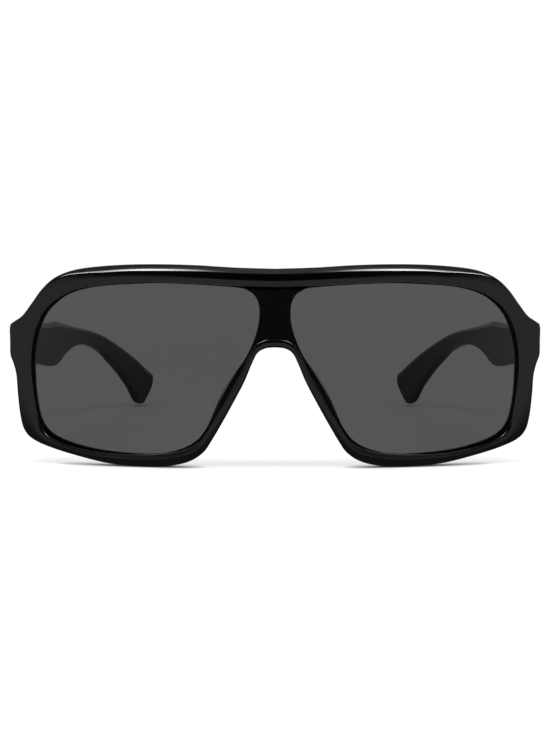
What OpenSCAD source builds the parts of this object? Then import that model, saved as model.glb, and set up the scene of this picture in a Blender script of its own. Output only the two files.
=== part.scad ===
// Oversized one-piece-lens sunglasses, open, standing on the lower rims and the ear tips.
// The front looks along -Y and the arms run back along +Y. Left and right are the wearer's.

/* [Front frame] */
// Overall width of the moulded front
front_w = 151; // [142:1:160]
// Overall height of the moulded front
front_h = 56.7; // [53:0.1:61]
// Radius of the wrap round the face, seen from above
wrap_r = 230; // [200:5:300]
// Thickness of the moulded front
front_t = 4; // [3.8:0.1:5]
// Height of the bevel along the top of the brow
brow_bevel_h = 1.7; // [1:0.1:2.4]
// Depth of that bevel
brow_bevel_d = 1.5; // [0.8:0.1:2]
// Bevel round the rest of the front edge
edge_bevel = 0.5; // [0.3:0.1:0.8]

/* [Nose pads] */
// How far the moulded pads reach behind the front
pad_reach = 7; // [4:0.5:9]
// Width of a pad where it rises from the rim
pad_root_w = 3.4; // [3:0.1:4]
// Width of a pad at its rounded crest
pad_crest_w = 2.2; // [1.8:0.1:2.6]
// How far the crest leans outward
pad_lean = 1.2; // [0.4:0.1:1.6]

/* [Lens] */
// Thickness of the one-piece lens
lens_t = 1.8; // [1.4:0.1:2]
// How far the lens lies below the front face
lens_set = 0.4; // [0.2:0.1:0.5]
// Gap round and behind the lens in its seat
lens_fit = 0.08; // [0.06:0.01:0.1]

/* [End pieces] */
// Thickness of an end piece, front to back
lug_t = 5.3; // [5:0.1:6.5]
// Height of an end piece
lug_h = 12.8; // [12.6:0.1:14]
// How far the arm lies inside the end piece's outer side
lug_lip = 0.2; // [0.1:0.1:0.5]

/* [Arms] */
// Reach of an arm behind the end piece
temple_len = 132; // [120:1:140]
// Thickness of an arm where it meets the end piece
temple_t = 4; // [3.8:0.1:4.6]
// Height of an arm where it meets the end piece
temple_h = 12.4; // [11.6:0.1:12.6]
// How far the ear tip lies inside the arm's root
temple_tuck = 25.4; // [16:0.2:28]
// Gap between an open arm and its end piece
butt_gap = 0.2; // [0.1:0.05:0.3]

/* [Hinges] */
// Outer radius of a hinge knuckle
knuckle_r = 1.45; // [1.4:0.05:1.5]
// Height of the middle knuckle, which turns with the arm
mid_knuckle_h = 2.6; // [2:0.1:3]
// Height of each outer knuckle, fixed to the front
end_knuckle_h = 2.2; // [1.8:0.1:2.4]
// Gap between knuckles, and between a knuckle and the moulding
knuckle_gap = 0.1; // [0.06:0.01:0.14]
// Thickness of a hinge leaf
leaf_t = 1; // [0.9:0.05:1.2]
// Height of the leaf on the end piece
front_leaf_h = 12; // [11.6:0.1:12.4]
// Length of the leaf on the arm
arm_leaf_len = 9.6; // [9:0.1:11]
// Height of the leaf on the arm
arm_leaf_h = 6; // [5:0.1:6.6]
// How deep the leaf on the arm is let into the arm
leaf_pocket = 0.6; // [0.4:0.05:0.7]

/* [Screws] */
// Radius of the hinge screw
pivot_r = 0.7; // [0.6:0.05:0.75]
// Radius of the hinge screw's head
pivot_head_r = 1.15; // [1:0.05:1.2]
// Height of the hinge screw's head
pivot_head_h = 0.6; // [0.5:0.05:0.8]
// Radial clearance of the hinge screw in the turning knuckle
pivot_play = 0.05; // [0.03:0.01:0.08]
// Radius of a leaf screw
leaf_screw_r = 0.5; // [0.4:0.05:0.55]
// Length of a leaf screw, head included
leaf_screw_len = 2.8; // [2.4:0.1:3]
// Radius of a leaf screw's head
leaf_head_r = 0.9; // [0.8:0.05:0.95]
// Height of a leaf screw's countersunk head
leaf_head_h = 0.45; // [0.35:0.05:0.6]
// Radial gap round a screw's thread in its hole
thread_gap = 0.02; // [0.01:0.01:0.04]
// Width of a screwdriver slot
slot_w = 0.3; // [0.2:0.05:0.35]
// Depth of a screwdriver slot
slot_d = 0.2; // [0.15:0.05:0.25]

/* [Hidden] */

// Facets of a full circle
$fn = 48;
// Facets of the wide wrap circles
wrap_fn = 360;
// Facets of the small screws and their holes
screw_fn = 24;
// Steps between two outline points
outline_steps = 4;
// Steps between two sections of an arm
temple_steps = 4;
// How far a cut runs past what it cuts
overrun = front_t / 2;

// Half the front's width
half_w = front_w / 2;
// Depth of the front face behind its foremost point, at a place x across the front
function sag(x) = wrap_r - sqrt(wrap_r * wrap_r - x * x);
// Place of an outline point at a depth v into the wrapped front
function wrapped(p, v) = [p.x, wrap_r - sqrt(pow(wrap_r - v, 2) - p.x * p.x), p.y];

// Depth of the lens seat below the front face
seat_d = lens_set + lens_t + lens_fit;
// Depth of the plane where arm and end piece meet, and of the hinge axis
butt_y = sag(half_w) + lug_t;
// Inner side of an arm at its root
temple_in_x = half_w - lug_lip - temple_t;
// Place of the hinge axis across the front
axis_x = temple_in_x - knuckle_r - knuckle_gap;
// Height of the hinge above the floor, as a share of the front's height
hinge_z_share = 0.598;
hinge_z = front_h * hinge_z_share;
// Seat of the front leaf, as a depth in front of the hinge axis
leaf_seat = knuckle_r + knuckle_gap + leaf_t;
// Inner side of the end piece
lug_in_x = axis_x - knuckle_r;
// Height of the whole row of knuckles
knuckles_h = mid_knuckle_h + 2 * end_knuckle_h + 2 * knuckle_gap;
// Radius of the hole through the turning knuckle
pivot_hole_r = pivot_r + pivot_play;
// Heights of the two screws of the front leaf, halfway between the knuckles and the leaf's ends
leaf_screw_reach = (knuckles_h + front_leaf_h) / 4;
leaf_screw_z = [hinge_z - leaf_screw_reach, hinge_z + leaf_screw_reach];
// Where the leaf on the arm starts, clear of the knuckles, and the places of its two screws
arm_leaf_start = butt_y + knuckle_r + 3 * knuckle_gap;
arm_screw_shares = [0.3, 0.76];
arm_screw_y = [for (share = arm_screw_shares) arm_leaf_start + arm_leaf_len * share];
// Outer and inner side of the leaf on the arm
arm_leaf_out_x = temple_in_x + leaf_pocket;
arm_leaf_in_x = arm_leaf_out_x - leaf_t;
// Whole depth of the object, which centres it on Y
total_d = butt_y + temple_len;

// Outer edge of the front, from the top centre round the outside to the top of the nose arch.
// Each point is a share of the half width and a share of the height.
outer_shares = [[0, 0.979], [0.146, 0.985], [0.291, 0.996], [0.424, 1], [0.556, 0.997], [0.675, 0.985],
  [0.755, 0.967], [0.819, 0.932], [0.87, 0.874], [0.914, 0.798], [0.949, 0.74], [0.984, 0.708],
  [0.9985, 0.688], [0.999, 0.614], [0.9985, 0.545], [0.987, 0.5], [0.976, 0.442], [0.971, 0.342],
  [0.962, 0.235], [0.946, 0.163], [0.911, 0.118], [0.841, 0.081], [0.742, 0.046], [0.636, 0.016],
  [0.543, 0.003], [0.464, 0.001], [0.384, 0.009], [0.315, 0.033], [0.265, 0.077], [0.233, 0.137],
  [0.191, 0.233], [0.146, 0.342], [0.111, 0.432], [0.086, 0.512], [0.065, 0.567], [0.037, 0.591],
  [0, 0.597]];

// Edge of the lens seat, in the same order and shares
seat_shares = [[0, 0.891], [0.13, 0.897], [0.272, 0.9085], [0.42, 0.915], [0.53, 0.911], [0.642, 0.899],
  [0.719, 0.881], [0.777, 0.853], [0.822, 0.815], [0.857, 0.77], [0.884, 0.71], [0.904, 0.628],
  [0.914, 0.54], [0.915, 0.456], [0.909, 0.356], [0.899, 0.267], [0.887, 0.206], [0.866, 0.159],
  [0.832, 0.1245], [0.775, 0.095], [0.689, 0.07], [0.596, 0.06], [0.49, 0.059], [0.4, 0.069],
  [0.334, 0.089], [0.286, 0.122], [0.252, 0.176], [0.211, 0.268], [0.16, 0.388], [0.12, 0.486],
  [0.091, 0.566], [0.067, 0.612], [0.037, 0.633], [0, 0.637]];

// Edge of one eye opening, clockwise from its upper corner beside the nose, in the same shares
eye_shares = [[0.132, 0.885], [0.272, 0.899], [0.42, 0.906], [0.53, 0.901], [0.642, 0.89], [0.72, 0.87],
  [0.776, 0.841], [0.816, 0.803], [0.846, 0.762], [0.871, 0.706], [0.89, 0.625], [0.901, 0.54],
  [0.902, 0.456], [0.898, 0.356], [0.888, 0.267], [0.874, 0.21], [0.851, 0.166], [0.81, 0.131],
  [0.752, 0.104], [0.68, 0.082], [0.59, 0.068], [0.48, 0.063], [0.408, 0.07], [0.343, 0.093],
  [0.292, 0.131], [0.259, 0.184], [0.22, 0.275], [0.184, 0.381], [0.141, 0.477], [0.111, 0.537],
  [0.084, 0.608], [0.067, 0.672], [0.058, 0.735], [0.059, 0.8], [0.073, 0.845], [0.095, 0.869]];

// Where the brow's tall bevel ends, as shares of the half width and of the height, and the share
// over which it fades into the low one
brow_end_share = 0.84;
brow_low_share = 0.8;
bevel_fade_share = 0.1;

// Points of a nose pad's crest, from below the arch to the lower rim, in the same shares
pad_line_shares = [[0.094, 0.548], [0.123, 0.468], [0.16, 0.378], [0.197, 0.288], [0.233, 0.2],
  [0.266, 0.13]];
// How far each of those points stands out, as a share of the pads' reach
pad_rise_shares = [0, 0.55, 0.95, 1, 0.6, 0];
// Section of a pad as shares of half its width and of its rise, from root to crest and back
pad_section_shares = [[-1, 0], [-0.95, 0.35], [-0.75, 0.7], [-0.35, 0.95], [0.3, 1], [0.75, 0.85],
  [0.95, 0.5], [1, 0]];
// Width of a pad at its two ends, as a share of its full width
pad_end_share = 0.65;

// Side view of an arm, root to tip: shares of its length and of the hinge's height, half its height
// as a share of that at the root, and its thickness as a share of that at the root
side_shares = [[0, 1, 0.5, 1], [0.08, 0.972, 0.49, 1], [0.15, 0.945, 0.49, 0.98],
  [0.229, 0.913, 0.524, 0.96], [0.297, 0.89, 0.562, 0.93], [0.346, 0.889, 0.55, 0.91],
  [0.415, 0.901, 0.402, 0.86], [0.497, 0.899, 0.274, 0.8], [0.576, 0.876, 0.218, 0.76],
  [0.655, 0.83, 0.21, 0.72], [0.735, 0.75, 0.236, 0.7], [0.808, 0.626, 0.3, 0.7],
  [0.856, 0.526, 0.352, 0.7], [0.892, 0.435, 0.402, 0.7], [0.921, 0.352, 0.446, 0.7],
  [0.942, 0.278, 0.492, 0.7], [0.956, 0.224, 0.535, 0.68], [0.966, 0.19, 0.548, 0.64],
  [0.9745, 0.166, 0.502, 0.54], [0.98, 0.152, 0.38, 0.38], [0.982, 0.147, 0.12, 0.2]];
// Share of the arm's tuck that a gentle bow along its whole length makes; the rest is the ear bend
bow_share = 0.52;
// Powers of the arm's reach that shape the bow and the ear bend
bow_power = 1.5;
ear_power = 5;
// Corners of an arm's section as shares of half its thickness and half its height
section_shares = [[1, 0], [1, 0.5], [0.94, 0.8], [0.7, 0.96], [0.3, 1]];

// Point of a smooth curve between b and c, at a share t of the way
function smooth_at(a, b, c, d, t) =
  b + (c - a) * t / 2 + (a - 2.5 * b + 2 * c - d / 2) * t * t + (1.5 * (b - c) + (d - a) / 2) * t * t * t;
// Smooth closed curve through all points
function smooth_loop(pts, steps) = let(n = len(pts))
  [for (i = [0:n - 1]) for (k = [0:steps - 1])
    smooth_at(pts[(i + n - 1) % n], pts[i], pts[(i + 1) % n], pts[(i + 2) % n], k / steps)];
// Smooth open curve through all points
function smooth_line(pts, steps) = let(n = len(pts))
  concat([for (i = [0:n - 2]) for (k = [0:steps - 1])
    smooth_at(pts[max(i - 1, 0)], pts[i], pts[i + 1], pts[min(i + 2, n - 1)], k / steps)], [pts[n - 1]]);
// Shares turned into real places on the front
function on_front(shares) = [for (s = shares) [s.x * half_w, s.y * front_h]];
// Half an outline that starts and ends on the centre line, closed with its mirror image
function both_sides(half) = concat(half,
  [for (i = [len(half) - 2:-1:1]) [-half[i].x, half[i].y]]);
// Unit vector square to the way from a to b, to the right of it
function right_of(a, b) = let(d = b - a) [d.y, -d.x] / norm(d);
// Inward direction at each point of a clockwise closed curve
function inward(pts) = let(n = len(pts))
  [for (i = [0:n - 1]) right_of(pts[(i + n - 1) % n], pts[(i + 1) % n])];
// The same curve moved inward by a distance
function inset(pts, by) = let(dirs = inward(pts)) [for (i = [0:len(pts) - 1]) pts[i] + dirs[i] * by];

// Closed outlines of the front, of its lens seat and of its left eye opening
outer_outline = smooth_loop(both_sides(on_front(outer_shares)), outline_steps);
seat_outline = smooth_loop(both_sides(on_front(seat_shares)), outline_steps);
eye_outline = smooth_loop(on_front(eye_shares), outline_steps);

// Closed solid over rings of points, all rings having the same count
module loft(rings) {
  m = len(rings[0]);
  n = len(rings);
  polyhedron(
    points = [for (r = rings) for (p = r) p],
    faces = concat(
      [[for (j = [0:m - 1]) j]],
      [for (i = [0:n - 2]) for (j = [0:m - 1]) let(k = (j + 1) % m)
        each [[i * m + j, (i + 1) * m + j, (i + 1) * m + k], [i * m + j, (i + 1) * m + k, i * m + k]]],
      [[for (j = [m - 1:-1:0]) (n - 1) * m + j]]
    )
  );
}

// Outline that stands up in the XZ plane and runs back from y = -overrun
module upright(outline, depth) {
  translate([0, depth, 0]) rotate([90, 0, 0]) linear_extrude(depth + overrun) polygon(outline);
}

// Everything between two depths of the wrapped front
module wrap_layer(from, to) {
  translate([0, wrap_r, -overrun]) difference() {
    cylinder(r = wrap_r - from, h = front_h + 2 * overrun, $fn = wrap_fn);
    translate([0, 0, -overrun]) cylinder(r = wrap_r - to, h = front_h + 4 * overrun, $fn = wrap_fn);
  }
}

// Part on the left side, and the same part mirrored to the right side
module on_side(side) {
  if (side == "left") children();
  else mirror([1, 0, 0]) children();
}

// Moves a piece modelled from the front's foremost point into the object's own frame
module placed() {
  translate([0, -total_d / 2, 0]) children();
}

// Height of the front edge's bevel at a place of the outline: tall along the brow, low elsewhere
function bevel_h_at(p) = let(
    along = min(max((brow_end_share - abs(p.x) / half_w) / bevel_fade_share, 0), 1),
    high = min(max((p.y / front_h - brow_low_share) / bevel_fade_share, 0), 1))
  edge_bevel + (brow_bevel_h - edge_bevel) * along * high;
// Depth of the bevel there
function bevel_d_at(p) = edge_bevel
  + (brow_bevel_d - edge_bevel) * (bevel_h_at(p) - edge_bevel) / (brow_bevel_h - edge_bevel);

// Wedge that runs round the front edge and takes the bevel off
module edge_wedge() {
  pts = outer_outline;
  dirs = inward(pts);
  n = len(pts);
  // Share by which the wedge runs past the bevel it cuts
  past_share = 0.4;
  rings = [for (i = [0:n - 1]) let(
      h = bevel_h_at(pts[i]),
      d = bevel_d_at(pts[i]))
    [wrapped(pts[i] + dirs[i] * h * (1 + past_share), -d * past_share),
     wrapped(pts[i] - dirs[i] * h * past_share, -d * past_share),
     wrapped(pts[i] - dirs[i] * h * past_share, d * (1 + past_share))]];
  polyhedron(
    points = [for (r = rings) for (p = r) p],
    faces = [for (i = [0:n - 1]) for (j = [0:2]) let(a = 3 * i, b = 3 * ((i + 1) % n), k = (j + 1) % 3)
      each [[a + j, b + k, b + j], [a + j, a + k, b + k]]]
  );
}

// One moulded nose pad, rising from the back of the rim
module nose_pad() {
  line = smooth_line(on_front(pad_line_shares), outline_steps);
  rise = smooth_line([for (r = pad_rise_shares) [r * pad_reach, 0]], outline_steps);
  n = len(line);
  rings = [for (i = [0:n - 1]) let(
      out = -right_of(line[max(i - 1, 0)], line[min(i + 1, n - 1)]),
      up = max(rise[i].x, 0),
      full = pad_end_share + (1 - pad_end_share) * up / pad_reach)
    [for (s = pad_section_shares) let(
        half = full * (pad_root_w * (1 - s.y) + pad_crest_w * s.y) / 2,
        lean = pad_lean * s.y * up / pad_reach)
      wrapped(line[i] + out * (half * s.x + lean), front_t - overrun / 2 + s.y * (up + overrun / 4))]];
  loft(rings);
}

// Block behind the wrapped face that carries the hinge
module lug() {
  intersection() {
    upright(outer_outline, butt_y);
    translate([0, wrap_r, -overrun])
      cylinder(r = wrap_r - edge_bevel, h = front_h + 2 * overrun, $fn = wrap_fn);
    translate([lug_in_x, 0, hinge_z - lug_h / 2]) cube([half_w, butt_y, lug_h]);
  }
}

// Space taken out of the end piece for the front leaf and the knuckles
module lug_cut() {
  translate([lug_in_x - overrun, butt_y - leaf_seat, hinge_z - lug_h])
    cube([temple_in_x - lug_in_x + overrun, leaf_seat + overrun, 2 * lug_h]);
  for (z = leaf_screw_z)
    translate([axis_x, butt_y - leaf_seat + leaf_t, z]) rotate([90, 0, 0])
      cylinder(r = leaf_screw_r + thread_gap, h = leaf_screw_len + thread_gap, $fn = screw_fn);
}

module front_frame() {
  color("#101012") placed() difference() {
    union() {
      difference() {
        intersection() {
          upright(outer_outline, butt_y);
          wrap_layer(0, front_t);
        }
        for (side = ["left", "right"]) on_side(side) upright(eye_outline, butt_y);
      }
      for (side = ["left", "right"]) on_side(side) {
        lug();
        nose_pad();
      }
    }
    intersection() {
      upright(seat_outline, butt_y);
      wrap_layer(-overrun, seat_d);
    }
    edge_wedge();
    for (side = ["left", "right"]) on_side(side) lug_cut();
  }
}

module shield_lens() {
  color("#55565a", 0.6) placed() intersection() {
    upright(inset(seat_outline, lens_fit), butt_y);
    wrap_layer(lens_set, lens_set + lens_t);
  }
}

// Inner side of an arm at a place y: a gentle bow, and a quick bend round the ear
function arm_in_x(y) = let(t = max((y - butt_y) / temple_len, 0))
  temple_in_x - temple_tuck * (bow_share * pow(t, bow_power) + (1 - bow_share) * pow(t, ear_power));

// Arm on the left side, before its pocket is cut
module temple_body() {
  side = smooth_line(side_shares, temple_steps);
  n = len(side);
  path = [for (i = [0:n - 1]) [
    butt_y + butt_gap + side[i].x * (temple_len - butt_gap),
    side[i].y * hinge_z]];
  // Whole section, once round
  last = len(section_shares) - 1;
  ring = concat(
    section_shares,
    [for (j = [last:-1:0]) [-section_shares[j].x, section_shares[j].y]],
    [for (j = [1:last]) [-section_shares[j].x, -section_shares[j].y]],
    [for (j = [last:-1:1]) [section_shares[j].x, -section_shares[j].y]]);
  rings = [for (i = [0:n - 1]) let(
      up = i == 0 ? [0, 1] : -right_of(path[i - 1], path[min(i + 1, n - 1)]),
      half_h = side[i].z * temple_h,
      thick = side[i][3] * temple_t)
    [for (s = ring) let(y = path[i].x + up.x * s.y * half_h)
      [arm_in_x(y) + (1 + s.x) * thick / 2, y, path[i].y + up.y * s.y * half_h]]];
  loft(rings);
}

module temple() {
  difference() {
    temple_body();
    translate([temple_in_x - overrun, butt_y, hinge_z - arm_leaf_h / 2 - knuckle_gap])
      cube([leaf_pocket + overrun, arm_leaf_start + arm_leaf_len + knuckle_gap - butt_y,
        arm_leaf_h + 2 * knuckle_gap]);
    for (y = arm_screw_y)
      translate([arm_leaf_in_x, y, hinge_z]) rotate([0, 90, 0])
        cylinder(r = leaf_screw_r + thread_gap, h = leaf_screw_len + thread_gap, $fn = screw_fn);
  }
}

module left_temple() {
  color("#131315") placed() on_side("left") temple();
}

module right_temple() {
  color("#131315") placed() on_side("right") temple();
}

// Countersink of a leaf screw, its wide end at z = 0 and narrowing downward
module countersink(gap) {
  translate([0, 0, -leaf_head_h])
    cylinder(r1 = leaf_screw_r + gap, r2 = leaf_head_r + gap, h = leaf_head_h, $fn = screw_fn);
}

// Countersunk hole of a leaf screw through a leaf whose open face is at z = 0
module leaf_hole() {
  translate([0, 0, -leaf_t - overrun])
    cylinder(r = leaf_screw_r + thread_gap, h = leaf_t + 2 * overrun, $fn = screw_fn);
  countersink(thread_gap);
}

// Leaf on the end piece, with the two outer knuckles
module front_hinge_leaf() {
  difference() {
    union() {
      translate([axis_x - knuckle_r + knuckle_gap, butt_y - leaf_seat, hinge_z - front_leaf_h / 2])
        cube([2 * (knuckle_r - knuckle_gap), leaf_t, front_leaf_h]);
      for (s = [-1, 1]) translate([0, 0, hinge_z + s * (knuckles_h - end_knuckle_h) / 2]) {
        translate([axis_x, butt_y, 0]) cylinder(r = knuckle_r, h = end_knuckle_h, center = true);
        translate([axis_x - knuckle_r + knuckle_gap, butt_y - leaf_seat, -end_knuckle_h / 2])
          cube([2 * (knuckle_r - knuckle_gap), leaf_seat, end_knuckle_h]);
      }
    }
    translate([axis_x, butt_y, hinge_z])
      cylinder(r = pivot_hole_r, h = knuckles_h + overrun, center = true);
    for (z = leaf_screw_z)
      translate([axis_x, butt_y - leaf_seat + leaf_t, z]) rotate([-90, 0, 0]) leaf_hole();
  }
}

// Leaf on the arm, with the middle knuckle
module temple_hinge_leaf() {
  difference() {
    union() {
      translate([arm_leaf_in_x, arm_leaf_start, hinge_z - arm_leaf_h / 2])
        cube([leaf_t, arm_leaf_len, arm_leaf_h]);
      translate([axis_x, butt_y, hinge_z]) cylinder(r = knuckle_r, h = mid_knuckle_h, center = true);
      translate([axis_x, butt_y + butt_gap, hinge_z - mid_knuckle_h / 2])
        cube([arm_leaf_out_x - axis_x, arm_leaf_start + leaf_t - butt_y - butt_gap, mid_knuckle_h]);
    }
    translate([axis_x, butt_y, hinge_z])
      cylinder(r = pivot_hole_r, h = mid_knuckle_h + overrun, center = true);
    for (y = arm_screw_y) translate([arm_leaf_in_x, y, hinge_z]) rotate([0, -90, 0]) leaf_hole();
  }
}

// Screw that is the hinge's pin, dropped in from above
module hinge_screw() {
  top = hinge_z + knuckles_h / 2;
  translate([axis_x, butt_y, 0]) difference() {
    union() {
      translate([0, 0, top - knuckles_h]) cylinder(r = pivot_r, h = knuckles_h + pivot_head_h);
      translate([0, 0, top]) cylinder(r = pivot_head_r, h = pivot_head_h);
    }
    translate([-pivot_head_r - slot_w, -slot_w / 2, top + pivot_head_h - slot_d])
      cube([2 * (pivot_head_r + slot_w), slot_w, 2 * slot_d]);
  }
}

// Countersunk leaf screw, its head's flat at z = 0 and its thread downward
module leaf_screw() {
  difference() {
    union() {
      countersink(0);
      translate([0, 0, -leaf_screw_len])
        cylinder(r = leaf_screw_r, h = leaf_screw_len - leaf_head_h / 2, $fn = screw_fn);
    }
    translate([-leaf_head_r, -slot_w / 2, -slot_d]) cube([2 * leaf_head_r, slot_w, 2 * slot_d]);
  }
}

module front_leaf_screws() {
  for (z = leaf_screw_z)
    translate([axis_x, butt_y - leaf_seat + leaf_t, z]) rotate([-90, 0, 0]) leaf_screw();
}

module temple_leaf_screws() {
  for (y = arm_screw_y) translate([arm_leaf_in_x, y, hinge_z]) rotate([0, -90, 0]) leaf_screw();
}

module left_front_hinge_leaf() {
  color("#8c8c90") placed() on_side("left") front_hinge_leaf();
}

module right_front_hinge_leaf() {
  color("#8c8c90") placed() on_side("right") front_hinge_leaf();
}

module left_temple_hinge_leaf() {
  color("#9a9a9e") placed() on_side("left") temple_hinge_leaf();
}

module right_temple_hinge_leaf() {
  color("#9a9a9e") placed() on_side("right") temple_hinge_leaf();
}

module left_hinge_screw() {
  color("silver") placed() on_side("left") hinge_screw();
}

module right_hinge_screw() {
  color("silver") placed() on_side("right") hinge_screw();
}

module left_front_leaf_screws() {
  color("silver") placed() on_side("left") front_leaf_screws();
}

module right_front_leaf_screws() {
  color("silver") placed() on_side("right") front_leaf_screws();
}

module left_temple_leaf_screws() {
  color("silver") placed() on_side("left") temple_leaf_screws();
}

module right_temple_leaf_screws() {
  color("silver") placed() on_side("right") temple_leaf_screws();
}

front_frame();
shield_lens();
left_temple();
right_temple();
left_front_hinge_leaf();
right_front_hinge_leaf();
left_temple_hinge_leaf();
right_temple_hinge_leaf();
left_hinge_screw();
right_hinge_screw();
left_front_leaf_screws();
right_front_leaf_screws();
left_temple_leaf_screws();
right_temple_leaf_screws();
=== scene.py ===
# Oversized sunglasses: one glossy black moulded front, a one-piece grey lens and two folding arms.
# The scene follows the glasses as they are put together: studio, front, lens, arms, hinges, screws.
import math

import bmesh
import bpy
import numpy as np
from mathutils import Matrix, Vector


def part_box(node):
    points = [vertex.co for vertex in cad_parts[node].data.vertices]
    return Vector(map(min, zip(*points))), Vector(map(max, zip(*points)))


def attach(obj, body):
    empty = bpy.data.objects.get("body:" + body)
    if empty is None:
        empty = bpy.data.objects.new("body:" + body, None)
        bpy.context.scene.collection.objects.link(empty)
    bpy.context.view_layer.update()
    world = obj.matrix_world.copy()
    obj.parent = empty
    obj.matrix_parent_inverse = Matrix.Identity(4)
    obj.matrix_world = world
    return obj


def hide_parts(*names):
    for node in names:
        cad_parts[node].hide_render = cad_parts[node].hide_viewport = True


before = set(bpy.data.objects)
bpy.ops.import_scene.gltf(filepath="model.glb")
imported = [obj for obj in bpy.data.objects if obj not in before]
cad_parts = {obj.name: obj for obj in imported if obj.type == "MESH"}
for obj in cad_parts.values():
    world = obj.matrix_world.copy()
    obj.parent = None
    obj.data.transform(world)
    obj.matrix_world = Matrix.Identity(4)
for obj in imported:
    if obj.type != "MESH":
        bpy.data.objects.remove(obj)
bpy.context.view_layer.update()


# Studio. A white table in a white room, lit by two long soft boxes overhead, left and right of the
# middle, and black behind the camera. The camera looks straight at the front, a little from above.
camera_height = 0.0675
camera_distance = 0.4
camera_down_deg = 5.55
camera_nearest = 0.01
photo_height_px = 733
focal_px = 1457
sensor_mm = 36
front_y = float(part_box("front_frame")[0][1])

camera_data = bpy.data.cameras.new("camera")
camera_data.sensor_width = sensor_mm
camera_data.lens = sensor_mm * focal_px / photo_height_px
camera_data.clip_start = camera_nearest
camera = bpy.data.objects.new("camera", camera_data)
camera.location = (0, front_y - camera_distance, camera_height)
camera.rotation_euler = (math.radians(90 - camera_down_deg), 0, 0)
bpy.context.scene.collection.objects.link(camera)
bpy.context.scene.camera = camera
bpy.context.scene.view_settings.view_transform = "Standard"


def math_node(nodes, links, operation, first, second):
    """One sum on two values, each a socket or a plain number."""
    node = nodes.new("ShaderNodeMath")
    node.operation = operation
    for socket, value in zip(node.inputs, (first, second)):
        if isinstance(value, (int, float)):
            socket.default_value = value
        else:
            links.new(value, socket)
    return node.outputs[0]


def fade(nodes, links, value, start, end, low, high):
    """A value that eases from low to high while another goes from start to end."""
    node = nodes.new("ShaderNodeMapRange")
    node.interpolation_type = "SMOOTHSTEP"
    for label, number in (("From Min", start), ("From Max", end), ("To Min", low),
            ("To Max", high)):
        node.inputs[label].default_value = number
    links.new(value, node.inputs["Value"])
    return node.outputs[0]


def split_place(nodes, links, kind="Object"):
    """Texture coordinate of one kind, and its X, Y and Z."""
    place = nodes.new("ShaderNodeTexCoord").outputs[kind]
    split = nodes.new("ShaderNodeSeparateXYZ")
    links.new(place, split.inputs[0])
    return place, *split.outputs


def light_paths(nodes, links):
    """Light Path node, and a mask for what the camera sees straight or through the lens."""
    path = nodes.new("ShaderNodeLightPath")
    return path, math_node(nodes, links, "MAXIMUM", path.outputs["Is Camera Ray"],
        path.outputs["Is Transmission Ray"])


def chosen_shader(nodes, links, choice, usual, other):
    """The usual shader where the choice is 0, and the other where it is 1."""
    mix = nodes.new("ShaderNodeMixShader")
    for socket, source in zip(mix.inputs, (choice, usual, other)):
        links.new(source, socket)
    return mix.outputs[0]


def new_material(name):
    """Material with its nodes, its links and its Principled shader."""
    material = bpy.data.materials.new(name)
    material.use_nodes = True
    nodes, links = material.node_tree.nodes, material.node_tree.links
    return material, nodes, links, nodes["Principled BSDF"]


def studio_room():
    """World in three layers, by the kind of ray: an even fill, what mirrors see, and plain white.

    Mirrors see a white wall behind the glasses, grey panels and bright windows at the sides, a grey
    ceiling and two soft boxes with soft edges. The camera sees white, also through the lens.
    """
    fill_light, plain_white = 0.25, 1.0
    world = bpy.data.worlds.new("studio_room")
    world.use_nodes = True
    nodes, links = world.node_tree.nodes, world.node_tree.links
    nodes.clear()
    _, across, back, up = split_place(nodes, links, "Generated")
    aside = math_node(nodes, links, "ABSOLUTE", across, 0)
    # Each light is a product of fades: the part of the direction, where it starts and ends there,
    # and the strength before and after
    back_wall = ((back, -0.15, 0.25, 0.0, 1.0), (up, 0.4, 0.75, 1.0, 0.15))
    ceiling = ((up, 0.85, 0.97, 0.0, 0.45),)
    side_panels = ((aside, 0.2, 0.5, 0.0, 0.52), (up, -0.1, 0.38, 1.0, 0.0))
    side_windows = ((aside, 0.65, 0.85, 0.0, 2.5), (back, 0.1, 0.35, 0.0, 1.0))
    soft_boxes = ((aside, 0.03, 0.36, 0.0, 33.0), (back, -0.27, -0.2, 0.0, 1.0),
        (back, -0.22, 0.0, 1.0, 0.0), (aside, 0.45, 0.75, 1.0, 0.0), (up, 0.3, 0.5, 0.0, 1.0))
    room = 0.0
    for light in (back_wall, ceiling, side_panels, side_windows, soft_boxes):
        strength = 1.0
        for part in light:
            strength = math_node(nodes, links, "MULTIPLY", strength, fade(nodes, links, *part))
        room = math_node(nodes, links, "MAXIMUM", room, strength)
    layers = []
    for strength in (fill_light, room, plain_white):
        background = nodes.new("ShaderNodeBackground")
        background.inputs["Color"].default_value = (1, 1, 1, 1)
        if isinstance(strength, float):
            background.inputs["Strength"].default_value = strength
        else:
            links.new(strength, background.inputs["Strength"])
        layers.append(background.outputs[0])
    path, direct = light_paths(nodes, links)
    shown = chosen_shader(nodes, links, path.outputs["Is Glossy Ray"], layers[0], layers[1])
    shown = chosen_shader(nodes, links, direct, shown, layers[2])
    out = nodes.new("ShaderNodeOutputWorld")
    links.new(shown, out.inputs["Surface"])
    bpy.context.scene.world = world


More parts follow.
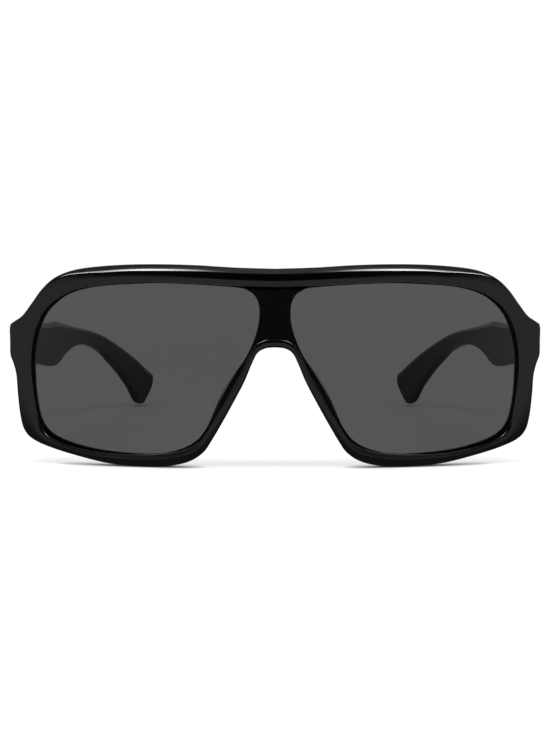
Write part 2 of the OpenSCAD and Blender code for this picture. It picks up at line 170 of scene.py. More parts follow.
def studio_floor():
    """Table under the glasses: lit by the lamps near them, and fading to plain white further off.

    Mirrors see it pale grey before and behind the glasses, and darker under them: painted shade.
    The white that the camera sees is dimmed by ambient occlusion close to the glasses: a painted
    contact shadow. A ray that goes through the lens counts as glossy too, so those are told apart.
    """
    half_width, front_edge, back_edge = 3.0, -2.0, 3.0
    lit_grey, matt, painted_shadow_reach = 0.267, 0.7, 0.004
    # Each fade: where it starts and ends, in metres, and the strength before and after
    seen_outward = (0.0, 0.8, 0.77, 0.97)
    # Floor brightness that mirrors see is painted: low under the glasses as painted shade
    mirrored_before = (-0.17, -0.09, 0.465, 0.12)
    mirrored_behind = (-0.05, 0.1, 0.0, 0.36)
    corners = [[-half_width, front_edge, 0], [half_width, front_edge, 0],
        [half_width, back_edge, 0], [-half_width, back_edge, 0]]
    mesh = bpy.data.meshes.new("floor")
    mesh.from_pydata(corners, [], [[0, 1, 2, 3]])
    floor = bpy.data.objects.new("floor", mesh)
    bpy.context.scene.collection.objects.link(floor)
    material, nodes, links, surface = new_material("pale_floor")
    surface.inputs["Base Color"].default_value = (lit_grey, lit_grey, lit_grey, 1)
    surface.inputs["Roughness"].default_value = matt
    surface.inputs["Specular IOR Level"].default_value = 0.0
    surface.inputs["Emission Color"].default_value = (1, 1, 1, 1)
    path, direct = light_paths(nodes, links)
    place, _, back, _ = split_place(nodes, links)
    away = nodes.new("ShaderNodeVectorMath")
    away.operation = "LENGTH"
    links.new(place, away.inputs[0])
    white = fade(nodes, links, away.outputs["Value"], *seen_outward)
    # Painted contact shadow: the white the camera sees is dimmed by ambient occlusion under rims
    # and tips
    painted_contact_shadow = nodes.new("ShaderNodeAmbientOcclusion")
    painted_contact_shadow.inputs["Distance"].default_value = painted_shadow_reach
    white = math_node(nodes, links, "MULTIPLY", white, painted_contact_shadow.outputs["AO"])
    seen = math_node(nodes, links, "MULTIPLY", direct, white)
    links.new(seen, surface.inputs["Emission Strength"])
    # Painted glow seen only in mirrors: pale grey before and behind the glasses, painted shade
    # under them
    painted_mirror_floor = nodes.new("ShaderNodeEmission")
    before = fade(nodes, links, back, *mirrored_before)
    behind = fade(nodes, links, back, *mirrored_behind)
    links.new(math_node(nodes, links, "ADD", before, behind), painted_mirror_floor.inputs["Strength"])
    reflected = math_node(nodes, links, "GREATER_THAN", path.outputs["Is Glossy Ray"],
        path.outputs["Is Transmission Ray"])
    shown = chosen_shader(nodes, links, reflected, surface.outputs[0], painted_mirror_floor.outputs[0])
    links.new(shown, nodes["Material Output"].inputs["Surface"])
    mesh.materials.append(material)


def soft_box(name, place, size, turn_deg, watts):
    """Lamp facing straight down, turned about the upright. Mirrors see the room's boxes instead."""
    lamp = bpy.data.lights.new(name, "AREA")
    lamp.shape = "RECTANGLE"
    lamp.size, lamp.size_y = size
    lamp.energy = watts
    lamp_object = bpy.data.objects.new(name, lamp)
    lamp_object.location = place
    lamp_object.rotation_euler = (0, 0, math.radians(turn_deg))
    lamp_object.visible_glossy = False
    bpy.context.scene.collection.objects.link(lamp_object)


studio_room()
studio_floor()
box_place = (0.365, -0.17, 0.66)
box_size = (0.45, 0.1)
box_turn_deg = 10
box_watts = 3.6
for name, x_side in (("soft_box_left", 1), ("soft_box_right", -1)):
    place = (x_side * box_place[0], *box_place[1:])
    soft_box(name, place, box_size, x_side * box_turn_deg, box_watts)


# Moulded front. Black plastic injection moulded in one shot and tumbled to a gloss: brow, rims,
# nose arch with its two pads, and the two end pieces that carry the hinges.
front_half_w = 0.07549
front_h = 0.056698
wrap_r = 0.23
front_t = 0.004
seat_d = 0.00228
hinge_z_share = 0.598
lug_t = 0.0053
hinge_z = front_h * hinge_z_share
butt_y = wrap_r - math.sqrt(wrap_r**2 - front_half_w**2) + lug_t
lug_half_h, lug_edge = 0.0064, 0.0003

# Outer edge of the front and edge of the lens seat, top centre to nose arch, and the eye opening:
# shares of the half width and of the height
outer_shares = [[0, 0.979], [0.146, 0.985], [0.291, 0.996], [0.424, 1], [0.556, 0.997],
    [0.675, 0.985], [0.755, 0.967], [0.819, 0.932], [0.87, 0.874], [0.914, 0.798], [0.949, 0.74],
    [0.984, 0.708], [0.9985, 0.688], [0.999, 0.614], [0.9985, 0.545], [0.987, 0.5], [0.976, 0.442],
    [0.971, 0.342], [0.962, 0.235], [0.946, 0.163], [0.911, 0.118], [0.841, 0.081], [0.742, 0.046],
    [0.636, 0.016], [0.543, 0.003], [0.464, 0.001], [0.384, 0.009], [0.315, 0.033], [0.265, 0.077],
    [0.233, 0.137], [0.191, 0.233], [0.146, 0.342], [0.111, 0.432], [0.086, 0.512], [0.065, 0.567],
    [0.037, 0.591], [0, 0.597]]
seat_shares = [[0, 0.891], [0.13, 0.897], [0.272, 0.9085], [0.42, 0.915], [0.53, 0.911],
    [0.642, 0.899], [0.719, 0.881], [0.777, 0.853], [0.822, 0.815], [0.857, 0.77], [0.884, 0.71],
    [0.904, 0.628], [0.914, 0.54], [0.915, 0.456], [0.909, 0.356], [0.899, 0.267], [0.887, 0.206],
    [0.866, 0.159], [0.832, 0.1245], [0.775, 0.095], [0.689, 0.07], [0.596, 0.06], [0.49, 0.059],
    [0.4, 0.069], [0.334, 0.089], [0.286, 0.122], [0.252, 0.176], [0.211, 0.268], [0.16, 0.388],
    [0.12, 0.486], [0.091, 0.566], [0.067, 0.612], [0.037, 0.633], [0, 0.637]]
eye_shares = [[0.132, 0.885], [0.272, 0.899], [0.42, 0.906], [0.53, 0.901], [0.642, 0.89],
    [0.72, 0.87], [0.776, 0.841], [0.816, 0.803], [0.846, 0.762], [0.871, 0.706], [0.89, 0.625],
    [0.901, 0.54], [0.902, 0.456], [0.898, 0.356], [0.888, 0.267], [0.874, 0.21], [0.851, 0.166],
    [0.81, 0.131], [0.752, 0.104], [0.68, 0.082], [0.59, 0.068], [0.48, 0.063], [0.408, 0.07],
    [0.343, 0.093], [0.292, 0.131], [0.259, 0.184], [0.22, 0.275], [0.184, 0.381], [0.141, 0.477],
    [0.111, 0.537], [0.084, 0.608], [0.067, 0.672], [0.058, 0.735], [0.059, 0.8], [0.073, 0.845],
    [0.095, 0.869]]


def smooth_curve(points, at, closed=False):
    """Catmull-Rom curve through the points, read at row numbers that may lie between rows."""
    points = np.asarray(points, float)
    count = len(points)
    at = np.asarray(at, float)
    row = np.floor(at).astype(int)
    if not closed:
        row = np.clip(row, 0, count - 2)
    t = (at - row)[:, None]

    def pick(i):
        return points[i % count] if closed else points[np.clip(i, 0, count - 1)]

    a, b, c, d = pick(row - 1), pick(row), pick(row + 1), pick(row + 2)
    squared, cubed = a - 2.5 * b + 2 * c - d / 2, 1.5 * (b - c) + (d - a) / 2
    return b + (c - a) * t / 2 + squared * t**2 + cubed * t**3


def unit(vectors):
    """Vectors made one long along their last axis, and their lengths."""
    shortest = 1e-9
    lengths = np.linalg.norm(vectors, axis=-1, keepdims=True)
    return vectors / np.maximum(lengths, shortest), lengths


def rounded_corners(corners, radii, steps):
    """Paths (station, point, 3) with each inner corner drawn as a parabola from a radius away.

    A radius takes up no more than a share of the shorter side, just under half.
    """
    side_share = 0.48
    middle = corners[:, 1:-1]
    before, len_before = unit(corners[:, :-2] - middle)
    after, len_after = unit(corners[:, 2:] - middle)
    reach = np.minimum(radii[:, :, None], side_share * np.minimum(len_before, len_after))
    start = (middle + before * reach)[:, :, None]
    end = (middle + after * reach)[:, :, None]
    t = np.linspace(0, 1, steps)[None, None, :, None]
    arcs = start * (1 - t)**2 + 2 * middle[:, :, None] * t * (1 - t) + end * t**2
    arcs = arcs.reshape(len(corners), -1, 3)
    return np.concatenate([corners[:, :1], arcs, corners[:, -1:]], axis=1)


def grid_faces(rows, columns, close_rows=False, close_columns=False):
    """Corner numbers of the four-sided faces of a grid of points."""
    i, j = np.meshgrid(np.arange(rows if close_rows else rows - 1),
        np.arange(columns if close_columns else columns - 1), indexing="ij")
    next_i, next_j = (i + 1) % rows, (j + 1) % columns
    this_row, next_row = i * columns, next_i * columns
    corners = [this_row + j, this_row + next_j, next_row + next_j, next_row + j]
    return np.stack(corners, -1).reshape(-1, 4)


def make_piece(name, points, faces, crease_deg=38):
    """Object at the origin from points and faces, welded, faced outward and shaded smooth."""
    weld = 1e-7
    used, faces = np.unique(faces, return_inverse=True)
    faces = faces.reshape(-1, 4)
    mesh = bpy.data.meshes.new(name)
    mesh.from_pydata(points[used].tolist(), [], faces.tolist())
    work = bmesh.new()
    work.from_mesh(mesh)
    bmesh.ops.remove_doubles(work, verts=work.verts, dist=weld)
    bmesh.ops.dissolve_degenerate(work, edges=work.edges, dist=weld)
    bmesh.ops.recalc_face_normals(work, faces=work.faces)
    for edge in work.edges:
        edge.smooth = edge.calc_face_angle(0) < math.radians(crease_deg)
    work.to_mesh(mesh)
    work.free()
    mesh.polygons.foreach_set("use_smooth", np.ones(len(mesh.polygons), bool))
    piece = bpy.data.objects.new(name, mesh)
    bpy.context.scene.collection.objects.link(piece)
    return piece


def both_halves(points, faces):
    """The left half and its mirror image in one pair of arrays."""
    return (np.concatenate([points, points * [-1, 1, 1]]),
        np.concatenate([faces, faces + len(points)]))


def wrapped(flat):
    """Points (x, z, depth) laid on the wrapped front: y is the wrap cylinder's at that depth."""
    x, z, depth = flat[..., 0], flat[..., 1], flat[..., 2]
    return np.stack([x, front_y + wrap_r - np.sqrt((wrap_r - depth)**2 - x**2), z], -1)


def depth_of_plane(x, y):
    """Depth below the wrapped face, at x, of an upright plane y behind its foremost point."""
    return wrap_r - np.sqrt((wrap_r - y)**2 + x**2)


def eased(value):
    """Slow start and slow end between 0 and 1."""
    value = np.clip(value, 0, 1)
    return value * value * (3 - 2 * value)


def front_edges():
    """Rows of the stations round the eye, and the edges of seat, front and eye at every station.

    Stations run over the brow, down the outer side and under the eye to the nose arch, and then up
    the centre line. Rows of the three tables that lie opposite each other are read together.
    """
    outer_table, seat_table, eye_table = (np.array(shares) * [front_half_w, front_h]
        for shares in (outer_shares, seat_shares, eye_shares))
    seat_rows = [0, 1, 9, 10, 11, 12, 13, 14, 15, 16, 17, 18, 19, 20, 21, 22, 23, 24, 25, 26, 27,
        28, 29, 30, 31, 32, 33]
    outer_rows = [0, 0.95, 9, 10.9, 12.77, 14.22, 15.76, 16.87, 17.72, 18.45, 19.4, 20.35, 21.35,
        22.3, 23.35, 24.62, 25.8, 26.7, 27.6, 28.9, 30.1, 31.35, 32.4, 33.4, 34.3, 35.1, 36]
    eye_rows = [-0.55, 0, 8, 9, 10, 11, 12, 13, 14, 15, 16, 17, 18, 19, 20, 21, 22, 23, 24, 25,
        26, 27, 28, 28.9, 29.5, 29.9, 30.2]
    stations_per_row, centre_stations, row_digits = 12, 36, 5
    last_row = len(seat_table) - 1
    rows = np.linspace(0, last_row, last_row * stations_per_row + 1)
    # More stations where the end piece steps up from the back
    side_first, side_last, step_reach, step_stations = 8, 15, 0.1, 17
    side = rows[(rows > side_first) & (rows < side_last)]
    heights = smooth_curve(seat_table, side)[:, 1]
    near_step = np.linspace(-step_reach, step_reach, step_stations)
    steps = [np.interp(-(hinge_z + up * lug_half_h), -heights, side) + near_step for up in (1, -1)]
    rows = np.unique(np.concatenate([rows, *steps]).round(row_digits))
    seat = smooth_curve(seat_table, rows)
    outer = smooth_curve(outer_table, np.interp(rows, seat_rows, outer_rows))
    eye = smooth_curve(eye_table, np.interp(rows, seat_rows, eye_rows), closed=True)
    # Beside the end piece, all three edges are taken at one height
    level_first, level_last, level_ease = 9.4, 13.6, 0.8
    line_first, line_last, line_count = 8, 18, 1500
    level = eased((rows - level_first) / level_ease) * eased((level_last - rows) / level_ease)
    fine_rows = np.linspace(line_first, line_last, line_count)
    for table, edge in ((outer_table, outer), (eye_table, eye)):
        line = smooth_curve(table, fine_rows, closed=table is eye_table)
        even = np.stack([np.interp(-seat[:, 1], -line[:, 1], line[:, 0]), seat[:, 1]], -1)
        edge += (even - edge) * level[:, None]
    # Stations on the centre line, from the nose arch up to the brow
    up = np.linspace(0, 1, centre_stations + 2)[1:-1]
    centre_seat, centre_outer = (np.stack([np.zeros(centre_stations),
        edge[-1, 1] + (edge[0, 1] - edge[-1, 1]) * up], -1) for edge in (seat, outer))
    eye_from, eye_to = eye_rows[-1], len(eye_table) + eye_rows[0]
    centre_eye = smooth_curve(eye_table, eye_from + (eye_to - eye_from) * up, closed=True)
    return rows, *(np.concatenate(pair) for pair in ((seat, centre_seat), (outer, centre_outer),
        (eye, centre_eye)))


def raise_nose_pad(path, on_back, rows, outer, eye):
    """Lifts the back of the sections into the nose pad.

    The lift is a height along the rim times (1 - |2a - 1| ** 2.6) ** 0.6 across it, where a runs
    from 0 at the eye edge to 1 at the outer edge. The crest leans toward the eye.
    """
    pad_reach, pad_lean, pad_first_row, height_steps = 0.007, 0.0012, 23.5, 60
    crest_power, flank_power = 2.6, 0.6
    heights = [[0.13, 0], [0.2, 0.6], [0.288, 1], [0.378, 0.95], [0.468, 0.55], [0.548, 0]]
    heights = smooth_curve(heights, np.linspace(0, len(heights) - 1, height_steps))
    z_share = (outer[:, 1] + eye[:, 1]) / 2 / front_h
    lift = np.maximum(np.interp(z_share, heights[:, 0], heights[:, 1]), 0)
    lift[:rows.searchsorted(pad_first_row)] = 0
    lift[len(rows):] = 0
    span = np.linalg.norm(outer - eye, axis=1)[:, None]
    across = np.linalg.norm(path[:, :, :2] - eye[:, None], axis=2) / span
    lift = np.clip(1 - np.abs(2 * across - 1)**crest_power, 0, 1)**flank_power * lift[:, None]
    lift = lift * on_back
    path[:, :, 2] += lift * pad_reach
    path[:, :, :2] += ((eye - outer) / span)[:, None] * (lift * pad_lean)[:, :, None]


def front_surface():
    """Both halves of the moulded front.

    Each station's section is a path with rounded corners: ledge, eye edge, back, outer wall, bevel,
    face and seat wall. The back rises into the end piece and the nose pad.
    """
    rows, seat, outer, eye = front_edges()
    rim_count, count = len(rows), len(seat)
    inward = unit(seat - outer)[0]

    def corner(flat, depth):
        return np.concatenate([flat, np.broadcast_to(depth, (count,))[:, None]], 1)

    # The bevel is tall along the brow, most of all above the eyes, and low elsewhere. It bends
    # halfway up
    edge_bevel, brow_bevel_h, brow_bevel_d = 0.0005, 0.0019, 0.0026
    tall_shares = np.array([[0, 0.78], [0.15, 0.8], [0.3, 0.94], [0.42, 1], [0.64, 1],
        [0.73, 0.72], [0.8, 0.25], [0.85, 0]])
    brow_from, brow_ease = 0.8, 0.1
    tall = np.interp(outer[:, 0] / front_half_w, tall_shares[:, 0], tall_shares[:, 1])
    tall = tall * eased((outer[:, 1] / front_h - brow_from) / brow_ease)
    bevel_h = edge_bevel + (brow_bevel_h - edge_bevel) * tall
    bevel_d = edge_bevel + (brow_bevel_d - edge_bevel) * tall
    bevel_in = outer + inward * bevel_h[:, None]
    bend_at, bend_d, low_bend_d = 0.5, 0.42, 0.04
    bevel_bend = outer + inward * (bevel_h * bend_at)[:, None]
    bend_depth = bevel_d * (bend_d + low_bend_d * (1 - tall))
    # The face is crowned between bevel and seat. Below the eye it overhangs the seat by a hair,
    # which hides the seat wall from above
    crown_at, crown_in_d, crown_out_d, crown_brow_d = 0.5, 0.00018, 0.00012, 0.00018
    crown = bevel_in + (seat - bevel_in) * crown_at
    lip_over, lip_from, lip_ease = 0.00006, 0.3, 0.1
    overhang = lip_over * eased((lip_from - seat[:, 1] / front_h) / lip_ease)
    overhang[rim_count:] = 0
    lip = seat + inward * overhang[:, None]
    # The end piece: inner side, seat of the hinge leaf and back plane
    leaf_seat, temple_in_x, lug_in_x, lug_last_row = 0.00255, 0.0713, 0.0683, 16
    lug = eased((lug_half_h + lug_edge / 2 - np.abs(seat[:, 1] - hinge_z)) / lug_edge)
    lug[rows.searchsorted(lug_last_row):] = 0
    plan = [(lug_in_x, None), (lug_in_x, butt_y - leaf_seat), (temple_in_x, butt_y - leaf_seat),
        (temple_in_x, butt_y)]
    back = []
    for k, (x, y) in enumerate(plan):
        flat = corner(eye + (outer - eye) * (k + 1) / (len(plan) + 1), front_t)
        depth = front_t if y is None else depth_of_plane(x, y)
        raised = np.stack([np.full(count, x), seat[:, 1], np.full(count, depth)], -1)
        back.append(flat + (raised - flat) * lug[:, None])
    outer_back = corner(outer, front_t + (depth_of_plane(outer[:, 0], butt_y) - front_t) * lug)
    corners = np.stack([corner(seat, seat_d), corner(eye, seat_d), corner(eye, front_t), *back,
        outer_back, corner(outer, bevel_d), corner(bevel_bend, bend_depth),
        corner(bevel_in, crown_out_d + crown_brow_d * tall), corner(crown, 0),
        corner(lip, crown_in_d), corner(seat, seat_d)], axis=1)
    # Corners of the back are as wide as their sides allow, but tight on the end piece. The seat's
    # edge is broken more in the lower outer corner and over the nose arch
    corner_row, corner_rows, arch_row, arch_ease = 17, 1.8, 30.2, 0.8
    row = np.concatenate([rows, np.full(count - rim_count, rows[-1])])
    softened = eased(1 - np.abs(row - corner_row) / corner_rows)
    softened = softened + eased((row - arch_row) / arch_ease)
    ledge_r, eye_r, outer_r, edge_r, bend_r, crown_r = 0.0003, 0.0005, 0.0006, 0.0004, 0.0007, 0.002
    wide_r, lug_r, crease_r, crease_less = 1.0, 0.0004, 0.0005, 0.0003
    lip_r, lip_more = 0.00003, 0.0011
    back_r = np.where(lug > 0.5, lug_r, wide_r)
    radii = [ledge_r, eye_r, *[back_r] * len(plan), outer_r, edge_r, bend_r,
        crease_r - crease_less * tall, crown_r, lip_r + lip_more * softened]
    radii = np.stack([np.broadcast_to(radius, count) for radius in radii], 1)
    corner_steps = 8
    path = rounded_corners(corners, radii, corner_steps)
    # A path has one point for its first corner and corner_steps for each rounded one
    columns = path.shape[1]
    back_end = 1 + (2 + len(plan)) * corner_steps
    on_back = np.zeros(columns, bool)
    on_back[2 * corner_steps - 1:back_end + corner_steps] = True
    raise_nose_pad(path, on_back, rows, outer, eye)
    # The first and the last rim station and the centre stations meet their mirror image
    for station in (0, rim_count - 1):
        path[station, back_end:, 0] = 0
    path[rim_count:, back_end, 0] = 0
    path[:, 0, 0] = np.where(seat[:, 0] == 0, 0, path[:, 0, 0])
    ledge_and_back = grid_faces(count, columns, close_rows=True)
    ledge_and_back = ledge_and_back[ledge_and_back[:, 0] % columns < back_end]
    rim = grid_faces(rim_count, columns)
    rim = rim[rim[:, 0] % columns >= back_end]
    return both_halves(wrapped(path).reshape(-1, 3), np.concatenate([ledge_and_back, rim]))


def tumbled_surface():
    """Node group for a surface tumbled smooth, of plastic or steel: slow waves and fine haze.

    Noise on Object coordinates gives three outputs: a shade for the colour, a roughness, and a
    height of the slow waviness that such a surface shows in its reflections.
    """
    group = bpy.data.node_groups.new("tumbled_surface", "ShaderNodeTree")
    face = group.interface
    for label, value in (("Haze", 0.1), ("Haze Spread", 0.04), ("Wave Scale", 60.0),
            ("Grain Scale", 2500.0)):
        socket = face.new_socket(label, in_out="INPUT", socket_type="NodeSocketFloat")
        socket.default_value = value
    for label in ("Shade", "Roughness", "Height"):
        face.new_socket(label, in_out="OUTPUT", socket_type="NodeSocketFloat")
    nodes, links = group.nodes, group.links
    given = nodes.new("NodeGroupInput")
    result = nodes.new("NodeGroupOutput")
    place = nodes.new("ShaderNodeTexCoord")

    def noise(scale_name, detail):
        texture = nodes.new("ShaderNodeTexNoise")
        texture.inputs["Detail"].default_value = detail
        links.new(place.outputs["Object"], texture.inputs["Vector"])
        links.new(given.outputs[scale_name], texture.inputs["Scale"])
        return texture.outputs["Fac"]

    wave_share, grain_share, middle = 0.6, 0.4, 0.5
    waves = noise("Wave Scale", detail=2)
    grain = noise("Grain Scale", detail=4)
    both = math_node(nodes, links, "ADD", math_node(nodes, links, "MULTIPLY", waves, wave_share),
        math_node(nodes, links, "MULTIPLY", grain, grain_share))
    off_middle = math_node(nodes, links, "SUBTRACT", both, middle)
    spread = math_node(nodes, links, "MULTIPLY", off_middle, given.outputs["Haze Spread"])
    haze = math_node(nodes, links, "ADD", given.outputs["Haze"], spread)
    links.new(haze, result.inputs["Roughness"])
    links.new(both, result.inputs["Shade"])
    links.new(waves, result.inputs["Height"])
    return group


tumbled_group = tumbled_surface()


def mixed_colour(nodes, links, factor, first, second):
    """Colour between two, each a socket or a plain colour, by a factor that varies."""
    mix = nodes.new("ShaderNodeMix")
    mix.data_type = "RGBA"
    for label, colour in (("A", first), ("B", second)):
        if isinstance(colour, tuple):
            mix.inputs[label].default_value = (*colour, 1)
        else:
            links.new(colour, mix.inputs[label])
    links.new(factor, mix.inputs["Factor"])
    return mix.outputs["Result"]


def tumbled_material(name, dark, light, wave_depth, **settings):
    """Material that takes its shade, roughness and waviness from the tumbled group.

    The settings are the group's inputs, such as haze. Gives the material with its nodes, links,
    shader and colour.
    """
    material, nodes, links, surface = new_material(name)
    group = nodes.new("ShaderNodeGroup")
    group.node_tree = tumbled_group
    for label, value in settings.items():
        group.inputs[label.replace("_", " ").title()].default_value = value
    colour = mixed_colour(nodes, links, group.outputs["Shade"], dark, light)
    links.new(colour, surface.inputs["Base Color"])
    links.new(group.outputs["Roughness"], surface.inputs["Roughness"])
    bump = nodes.new("ShaderNodeBump")
    bump.inputs["Strength"].default_value = 1.0
    bump.inputs["Distance"].default_value = wave_depth
    links.new(group.outputs["Height"], bump.inputs["Height"])
    links.new(bump.outputs["Normal"], surface.inputs["Normal"])
    return material, nodes, links, surface, colour


def black_moulding(name, haze, wave_depth, painted_sheen=0.0):
    """Gloss black plastic: near-black, a soft haze under a clear skin, and very slight waviness.

    Towards the ear tips it greys by the given share: a painted sheen that lightens the tips.
    """
    dark, light = (0.0012, 0.0012, 0.0014), (0.0026, 0.0026, 0.0029)
    painted_sheen_grey, sheen_from, sheen_to = (0.14, 0.14, 0.145), 0.02, 0.065
    material, nodes, links, surface, colour = tumbled_material(
        name, dark, light, wave_depth, haze=haze)
    surface.inputs["IOR"].default_value = 1.36
    surface.inputs["Coat Weight"].default_value = 1.0
    surface.inputs["Coat IOR"].default_value = 1.3
    surface.inputs["Coat Roughness"].default_value = 0.1
    _, _, back, _ = split_place(nodes, links)
    # Painted sheen: the base colour turns lighter grey towards the ear tips
    painted_sheen_mask = fade(nodes, links, back, sheen_from, sheen_to, 0.0, painted_sheen)
    colour = mixed_colour(nodes, links, painted_sheen_mask, colour, painted_sheen_grey)
    links.new(colour, surface.inputs["Base Color"])
    return material


moulded_front = make_piece("moulded_front", *front_surface())
moulded_front.data.materials.append(
    black_moulding("front_gloss_black", haze=0.12, wave_depth=0.00002))
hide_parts("front_frame")
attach(moulded_front, "front")


# Shield lens. One sheet of grey polycarbonate, bent to the wrap of the front and cut to its seat,
# with broken edges. It snaps in from the front and lies just below the face.
lens_t = 0.0018
lens_set, lens_fit = 0.0004, 0.00008


def lens_surface():
    """Both halves of the lens: columns across it, each a closed ring over its face and its back.

    A column runs from the upper edge to the lower edge at one place x. At an edge it follows a path
    with two small rounds, square to the outline.
    """
    column_count, across_count, outline_count = 220, 22, 3300
    edge_round, round_steps = 0.00018, 4
    seat = np.array(seat_shares) * [front_half_w, front_h]
    outline = smooth_curve(seat, np.linspace(0, len(seat) - 1, outline_count))
    along = np.gradient(outline, axis=0)
    along[[0, -1]] = [1, 0], [-1, 0]
    normal = unit(np.stack([along[:, 1], -along[:, 0]], -1))[0]
    outline = outline + normal * lens_fit
    tip = outline[:, 0].argmax()
    x = outline[tip, 0] * np.sin(np.linspace(0, np.pi / 2, column_count))
    edges = []
    for part, flip in ((slice(0, tip + 1), 1), (slice(tip, None), -1)):
        line, square = outline[part][::flip], normal[part][::flip]
        values = [np.interp(x, line[:, 0], v) for v in (line[:, 1], square[:, 0], square[:, 1])]
        values[1][0] = 0
        edges.append(np.stack([x, values[0]], -1))
        edges.append(np.stack(values[1:], -1))
    top, top_in, bottom, bottom_in = edges
    bottom[-1], bottom_in[-1] = top[-1], top_in[-1]
    turn = np.linspace(0, np.pi / 2, round_steps)
    inset = np.concatenate([1 - np.sin(turn), 1 - np.cos(turn)]) * edge_round
    depth = np.concatenate([lens_set + edge_round * (1 - np.cos(turn)),
        lens_set + lens_t - edge_round * (1 - np.sin(turn))])

    def edge_path(line, square):
        flat = line[:, None] + square[:, None] * inset[None, :, None]
        deep = np.broadcast_to(depth[None, :, None], flat.shape[:2] + (1,))
        return np.concatenate([flat, deep], 2)

    top_path, bottom_path = edge_path(top, top_in)[:, ::-1], edge_path(bottom, bottom_in)
    share = np.linspace(0, 1, across_count)[None, 1:-1, None]
    face = top_path[:, -1:] * (1 - share) + bottom_path[:, :1] * share
    back = bottom_path[:, -1:] * (1 - share) + top_path[:, :1] * share
    ring = np.concatenate([top_path, face, bottom_path, back], 1)
    ring[0, :, 0] = 0
    faces = grid_faces(ring.shape[0], ring.shape[1], close_columns=True)
    return both_halves(wrapped(ring).reshape(-1, 3), faces)


def tinted_lens():
    """Clear plastic dyed grey right through, so light is dimmed at both faces; polished.

    Slow noise lets the dye vary by a hair.
    """
    dense, thin, cloud_scale, cloud_detail = (0.081, 0.083, 0.086), (0.085, 0.087, 0.090), 14.0, 1.0
    material, nodes, links, surface = new_material("tinted_lens")
    surface.inputs["Transmission Weight"].default_value = 1.0
    surface.inputs["IOR"].default_value = 1.15
    surface.inputs["Roughness"].default_value = 0.0
    cloud = nodes.new("ShaderNodeTexNoise")
    cloud.inputs["Scale"].default_value = cloud_scale
    cloud.inputs["Detail"].default_value = cloud_detail
    links.new(nodes.new("ShaderNodeTexCoord").outputs["Object"], cloud.inputs["Vector"])
    tint = mixed_colour(nodes, links, cloud.outputs["Fac"], dense, thin)
    links.new(tint, surface.inputs["Base Color"])
    return material


lens = make_piece("one_piece_lens", *lens_surface())
lens.data.materials.append(tinted_lens())
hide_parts("shield_lens")
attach(lens, "front")


# Arms. Each is one black plastic moulding, screwed to its hinge leaf. It bows toward the head and
# bends down behind the ear, tall at the hinge and at the flat tip, and low over the ear.
temple_len, temple_t, temple_h, temple_tuck = 0.132, 0.004, 0.0124, 0.0254
lug_lip, butt_gap = 0.0002, 0.0002
bow_share, bow_power, ear_power = 0.52, 1.5, 5

# Side view: shares of the length, of the hinge's height, of the arm's height and of its thickness
side_shares = [[0, 1, 0.5, 1], [0.08, 0.972, 0.49, 1], [0.15, 0.945, 0.49, 0.98],
    [0.229, 0.913, 0.524, 0.96], [0.297, 0.89, 0.562, 0.93], [0.346, 0.889, 0.55, 0.91],
    [0.415, 0.901, 0.402, 0.86], [0.497, 0.899, 0.274, 0.8], [0.576, 0.876, 0.218, 0.76],
    [0.655, 0.83, 0.21, 0.72], [0.735, 0.75, 0.236, 0.7], [0.808, 0.626, 0.3, 0.7],
    [0.856, 0.528, 0.344, 0.7], [0.892, 0.438, 0.388, 0.7], [0.921, 0.356, 0.424, 0.7],
    [0.9415, 0.283, 0.462, 0.7], [0.9553, 0.23, 0.5, 0.68], [0.965, 0.194, 0.518, 0.64],
    [0.9738, 0.168, 0.486, 0.54], [0.9798, 0.153, 0.37, 0.38], [0.982, 0.147, 0.12, 0.2]]


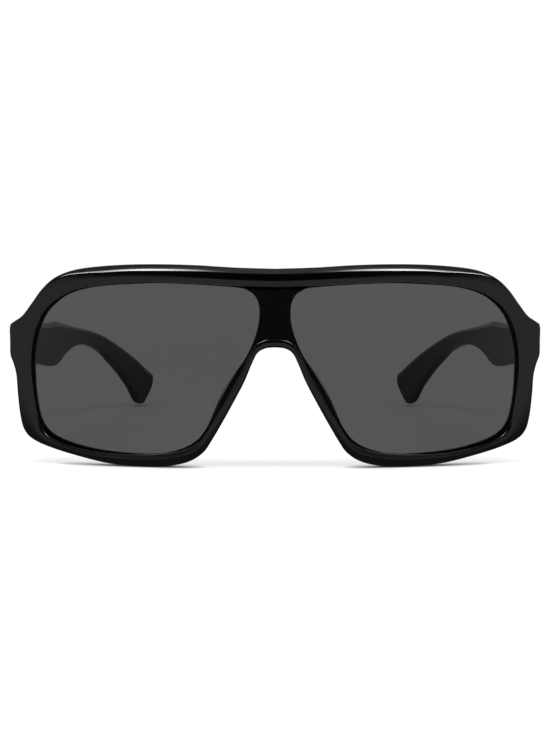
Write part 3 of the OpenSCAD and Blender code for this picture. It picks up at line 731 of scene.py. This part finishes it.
def arm_surface(side):
    """Arm of one side: rounded sections carried along its path in the side view.

    A section is a superellipse of power 5 set square to the path. Each point's place across the
    glasses follows from how far back it lies: a gentle bow of power 1.5 and an ear bend of power 5.
    """
    steps_per_row, round_count, section_power = 12, 112, 5
    root_round, root_steps = 0.0003, 5
    last_row = len(side_shares) - 1
    table = smooth_curve(side_shares, np.linspace(0, last_row, last_row * steps_per_row + 1))
    behind = butt_y + butt_gap + table[:, 0] * (temple_len - butt_gap)
    path = np.stack([behind, table[:, 1] * hinge_z], -1)
    along = np.empty_like(path)
    along[1:-1] = path[2:] - path[:-2]
    along[0], along[-1] = [1, 0], path[-1] - path[-2]
    along = unit(along)[0]
    across = np.stack([-along[:, 1], along[:, 0]], -1)
    half_h, half_t = table[:, 2] * temple_h, table[:, 3] * temple_t / 2
    # Points lie close together round the section's four corners, so the shine there runs smooth
    angle = np.linspace(0, 2 * np.pi, round_count, endpoint=False)
    sideways, upright = (np.sign(swing) * np.abs(swing)**(2 / section_power)
        for swing in (np.cos(angle), np.sin(angle)))
    # The root end and the tip are closed by rings that shrink to the path, the root's edge rounded
    turn = np.linspace(0, np.pi / 2, root_steps)
    size = np.concatenate([[0], 1 - root_round / half_t[0] * (1 - np.sin(turn)),
        np.ones(len(path) - 1), [0]])[:, None]
    shift = np.concatenate([[0], root_round * (1 - np.cos(turn)), np.zeros(len(path))])[:, None]
    index = np.concatenate([np.zeros(1 + root_steps, int), np.arange(1, len(path)),
        [len(path) - 1]])
    off_path = upright * half_h[index][:, None] * size
    length = path[index, 0][:, None] + across[index, 0][:, None] * off_path + shift
    height = path[index, 1][:, None] + across[index, 1][:, None] * off_path
    far = np.maximum((length - butt_y) / temple_len, 0)
    inner = front_half_w - lug_lip - temple_t
    inner = inner - temple_tuck * (bow_share * far**bow_power + (1 - bow_share) * far**ear_power)
    x = inner + half_t[index][:, None] * (1 + sideways * size)
    points = np.stack([x * side, front_y + length, height], -1)
    return points.reshape(-1, 3), grid_faces(len(index), round_count, close_columns=True)


for side, body in ((1, "left_arm"), (-1, "right_arm")):
    arm_name = body.replace("_arm", "_temple")
    arm = make_piece(body + "_moulding", *arm_surface(side))
    # The arms get a painted sheen, a lighter grey towards their tips
    arm.data.materials.append(
        black_moulding(body + "_gloss_black", haze=0.12, wave_depth=0.00003, painted_sheen=0.3))
    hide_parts(arm_name)
    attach(arm, body)


# Hinges. On each side, two leaves turn on a slotted screw, and countersunk screws hold them. The
# leaves are stamped steel with rolled knuckles, the screws are turned steel, all tumbled bright.
def worked_steel(name, tint, haze, wave_scale):
    """Bare steel: even grey with fine tumbling marks that change its roughness and shade."""
    dark_share, haze_spread, grain_scale, mark_depth = 0.72, 0.3, 9000.0, 0.00002
    dark = tuple(dark_share * part for part in tint)
    material, _, _, surface, _ = tumbled_material(name, dark, tint, mark_depth, haze=haze,
        haze_spread=haze_spread, wave_scale=wave_scale, grain_scale=grain_scale)
    surface.inputs["Metallic"].default_value = 1.0
    return material


leaf_steel = worked_steel("leaf_steel", (0.56, 0.56, 0.57), haze=0.32, wave_scale=900.0)
screw_steel = worked_steel("screw_steel", (0.68, 0.68, 0.69), haze=0.22, wave_scale=1500.0)
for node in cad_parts:
    if node.endswith("_leaf") or node.endswith("screw") or node.endswith("screws"):
        metal_piece = bpy.data.objects[node]
        metal_piece.data.materials.clear()
        metal_piece.data.materials.append(leaf_steel if node.endswith("_leaf") else screw_steel)
